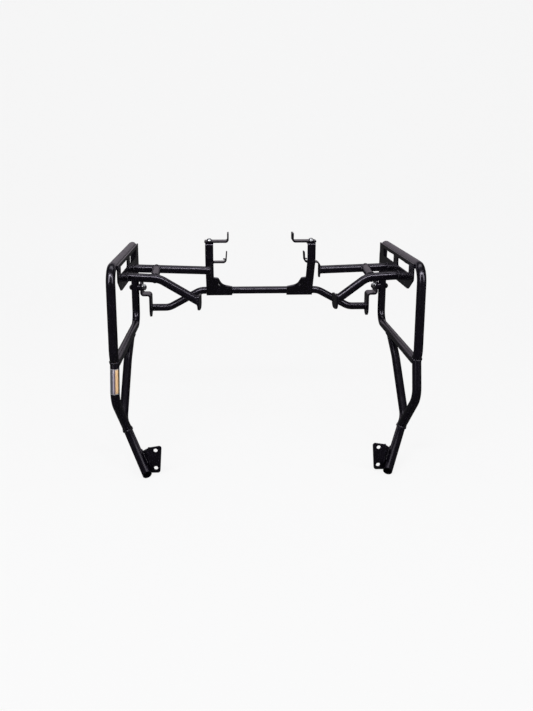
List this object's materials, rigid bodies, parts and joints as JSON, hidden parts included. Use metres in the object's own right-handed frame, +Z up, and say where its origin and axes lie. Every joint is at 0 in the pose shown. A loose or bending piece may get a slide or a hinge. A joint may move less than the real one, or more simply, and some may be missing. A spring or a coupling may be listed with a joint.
{
  "type": "pannier frame",
  "caption": "Black steel tube frames for a motorbike's side panniers, with windowed plates, arms with bolt flanges and a cranked rear crossbar.",
  "frame": {"origin": "bottom centre of the whole part: mid-plane between the two side loops, halfway along the length, at the level of the struts' open lower ends", "axes": "+X to the right as seen from the front, +Y to the rear, towards the crossbar, +Z up"},
  "size_m": [0.65, 0.48, 0.4503],
  "materials": {
    "black_coat": "semi-gloss black powder coat",
    "zinc": "bright zinc plating",
    "black_bolt": "black zinc plating"
  },
  "bodies": {
    "root": {"left_loop": "black_coat", "right_loop": "black_coat", "left_window_plate": "black_coat", "right_window_plate": "black_coat", "left_front_arm": "black_coat", "right_front_arm": "black_coat", "left_rear_arm": "black_coat", "right_rear_arm": "black_coat", "left_arm_brace": "black_coat", "right_arm_brace": "black_coat", "left_front_flange": "black_coat", "right_front_flange": "black_coat", "left_rear_hook": "black_coat", "right_rear_hook": "black_coat", "left_leg": "black_coat", "right_leg": "black_coat", "left_strut": "black_coat", "right_strut": "black_coat", "left_foot_bracket": "black_coat", "right_foot_bracket": "black_coat", "left_crossbar_strap": "black_coat", "right_crossbar_strap": "black_coat", "left_upright": "black_coat", "right_upright": "black_coat", "left_gusset": "black_coat", "right_gusset": "black_coat", "left_top_strap": "black_coat", "right_top_strap": "black_coat", "crossbar": "black_coat", "strap_bolts": "zinc", "strap_nuts": "zinc", "post_bolts": "black_bolt", "post_nuts": "zinc", "post_washers": "zinc", "post_spacers": "black_coat"}
  },
  "joints": []
}
